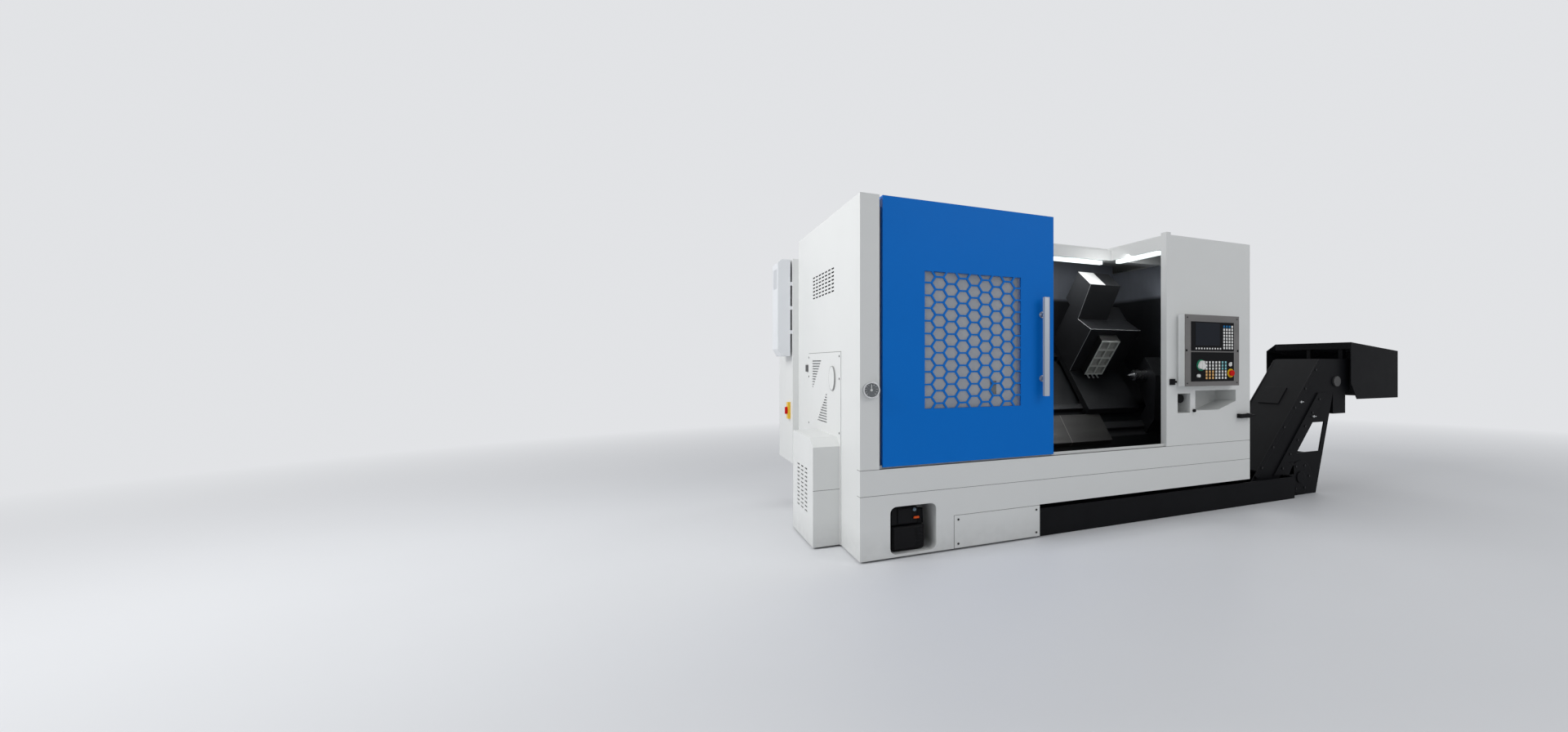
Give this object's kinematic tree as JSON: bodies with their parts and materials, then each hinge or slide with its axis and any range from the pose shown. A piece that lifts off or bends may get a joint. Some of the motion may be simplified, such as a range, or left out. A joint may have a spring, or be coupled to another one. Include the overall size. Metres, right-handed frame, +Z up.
{
  "type": "cnc turning lathe",
  "caption": "Enclosed slant-bed turning lathe with a sliding front door, a control pendant, an electrical cabinet behind and a chip conveyor rising at the right.",
  "frame": {"origin": "on the floor, in the middle of the overall box", "axes": "+X along the spindle from the headstock to the chip conveyor, +Y from the front to the back, +Z up"},
  "size_m": [4.726, 2.4098, 1.9],
  "materials": {
    "casing_paint": "satin powder coat",
    "door_paint": "satin powder coat",
    "pane": "clear",
    "handle_metal": "satin",
    "black_fittings": "matt",
    "bare_steel": "ground",
    "iron": "painted casting",
    "inner_paint": "satin, oily",
    "conveyor_paint": "satin",
    "gauge_chrome": "polished",
    "needle_black": "matt",
    "control_face": "satin",
    "knob_white": "satin",
    "knob_dark": "satin",
    "stop_red": "gloss",
    "pump_paint": "satin"
  },
  "bodies": {
    "machine": {"access_cover": "casing_paint", "access_panel": "casing_paint", "apron_band": "casing_paint", "back_beam": "casing_paint", "back_panel": "casing_paint", "bed": "iron", "cabinet": "casing_paint", "conveyor_hood": "conveyor_paint", "conveyor_legs": "conveyor_paint", "conveyor_motor": "conveyor_paint", "conveyor_tank": "conveyor_paint", "conveyor_trough": "conveyor_paint", "cooler": "casing_paint", "door_latch": "black_fittings", "fixed_front": "casing_paint", "front_column": "casing_paint", "front_pockets": "casing_paint", "gauge_case": "gauge_chrome", "guide_rails": "bare_steel", "headstock": "iron", "inner_back_wall": "inner_paint", "inner_left_wall": "inner_paint", "inner_right_wall": "inner_paint", "left_panel": "casing_paint", "levelling_feet": "iron", "lower_apron": "casing_paint", "lower_front": "casing_paint", "pull_bar": "black_fittings", "pump_unit": "pump_paint", "right_front": "casing_paint", "right_panel": "casing_paint", "roof_back": "casing_paint", "roof_left": "casing_paint", "roof_right": "casing_paint", "side_beam": "casing_paint", "side_box": "casing_paint", "way_guard": "inner_paint"},
    "door": {"door_panel": "door_paint", "door_window": "pane", "door_handle": "handle_metal", "door_hood": "door_paint"},
    "pendant": {"pendant_case": "casing_paint", "pendant_screen": "control_face", "pendant_keys": "control_face"},
    "override_knob": {"override_knob": "knob_white"},
    "mode_knob": {"mode_knob": "knob_dark"},
    "stop_button": {"e_stop": "stop_red"},
    "main_switch": {"main_switch_knob": "stop_red"},
    "spindle": {"spindle": "bare_steel", "chuck": "bare_steel"},
    "jaw_1": {"jaw_1": "bare_steel"},
    "jaw_2": {"jaw_2": "bare_steel"},
    "jaw_3": {"jaw_3": "bare_steel"},
    "saddle": {"saddle": "iron"},
    "cross_slide": {"cross_slide": "iron", "tool_block": "bare_steel"},
    "tailstock": {"tailstock": "iron"},
    "quill": {"quill": "bare_steel"},
    "gauge_needle": {"gauge_needle": "needle_black"},
    "conveyor_shaft": {"conveyor_shaft": "bare_steel"}
  },
  "joints": [
    {"name": "door_slide", "type": "slide", "parent": "machine", "child": "door", "axis": [1, 0, 0], "range_m": [0, 0.855]},
    {"name": "pendant_swing", "type": "hinge", "parent": "machine", "child": "pendant", "pos_m": [0.3625, -1.1091, 1.114], "axis": [0, 0, 1], "range_deg": [0, 80]},
    {"name": "override_turn", "type": "hinge", "parent": "pendant", "child": "override_knob", "pos_m": [0.0005, -1.1821, 1.015], "axis": [0, 1, 0], "range_deg": [-135, 135]},
    {"name": "mode_turn", "type": "hinge", "parent": "pendant", "child": "mode_knob", "pos_m": [-0.0275, -1.1801, 0.945], "axis": [0, 1, 0], "range_deg": [-45, 45]},
    {"name": "stop_press", "type": "slide", "parent": "pendant", "child": "stop_button", "axis": [0, 1, 0], "range_m": [0, 0.005], "stiffness_N_per_m": 4000},
    {"name": "main_switch_turn", "type": "hinge", "parent": "machine", "child": "main_switch", "pos_m": [-2.279, 0.7369, 0.687], "axis": [-1, 0, 0], "range_deg": [0, 90]},
    {"name": "spindle_spin", "type": "hinge", "parent": "machine", "child": "spindle", "pos_m": [-1.187, -0.4851, 0.94], "axis": [1, 0, 0], "continuous": true},
    {"name": "jaw_1_grip", "type": "slide", "parent": "spindle", "child": "jaw_1", "axis": [0, 0, 1], "range_m": [-0.008, 0.008]},
    {"name": "jaw_2_grip", "type": "slide", "parent": "spindle", "child": "jaw_2", "axis": [0, -0.866, -0.5], "range_m": [-0.008, 0.008]},
    {"name": "jaw_3_grip", "type": "slide", "parent": "spindle", "child": "jaw_3", "axis": [0, 0.866, -0.5], "range_m": [-0.008, 0.008]},
    {"name": "saddle_feed", "type": "slide", "parent": "machine", "child": "saddle", "axis": [-1, 0, 0], "range_m": [0, 0.6]},
    {"name": "cross_feed", "type": "slide", "parent": "saddle", "child": "cross_slide", "axis": [0, -0.7071, -0.7071], "range_m": [0, 0.18]},
    {"name": "tailstock_slide", "type": "slide", "parent": "machine", "child": "tailstock", "axis": [-1, 0, 0], "range_m": [0, 0.3]},
    {"name": "quill_slide", "type": "slide", "parent": "tailstock", "child": "quill", "axis": [-1, 0, 0], "range_m": [0, 0.1]},
    {"name": "gauge_turn", "type": "hinge", "parent": "machine", "child": "gauge_needle", "pos_m": [-2.164, -1.1051, 0.889], "axis": [0, 1, 0], "range_deg": [-135, 135], "stiffness_Nm_per_rad": 0.02},
    {"name": "conveyor_drive", "type": "hinge", "parent": "machine", "child": "conveyor_shaft", "pos_m": [1.617, -0.7601, 0.883], "axis": [0, 1, 0], "continuous": true}
  ],
  "couplings": [
    {"joint": "jaw_2_grip", "follows": "jaw_1_grip", "ratio": 1},
    {"joint": "jaw_3_grip", "follows": "jaw_1_grip", "ratio": 1}
  ]
}
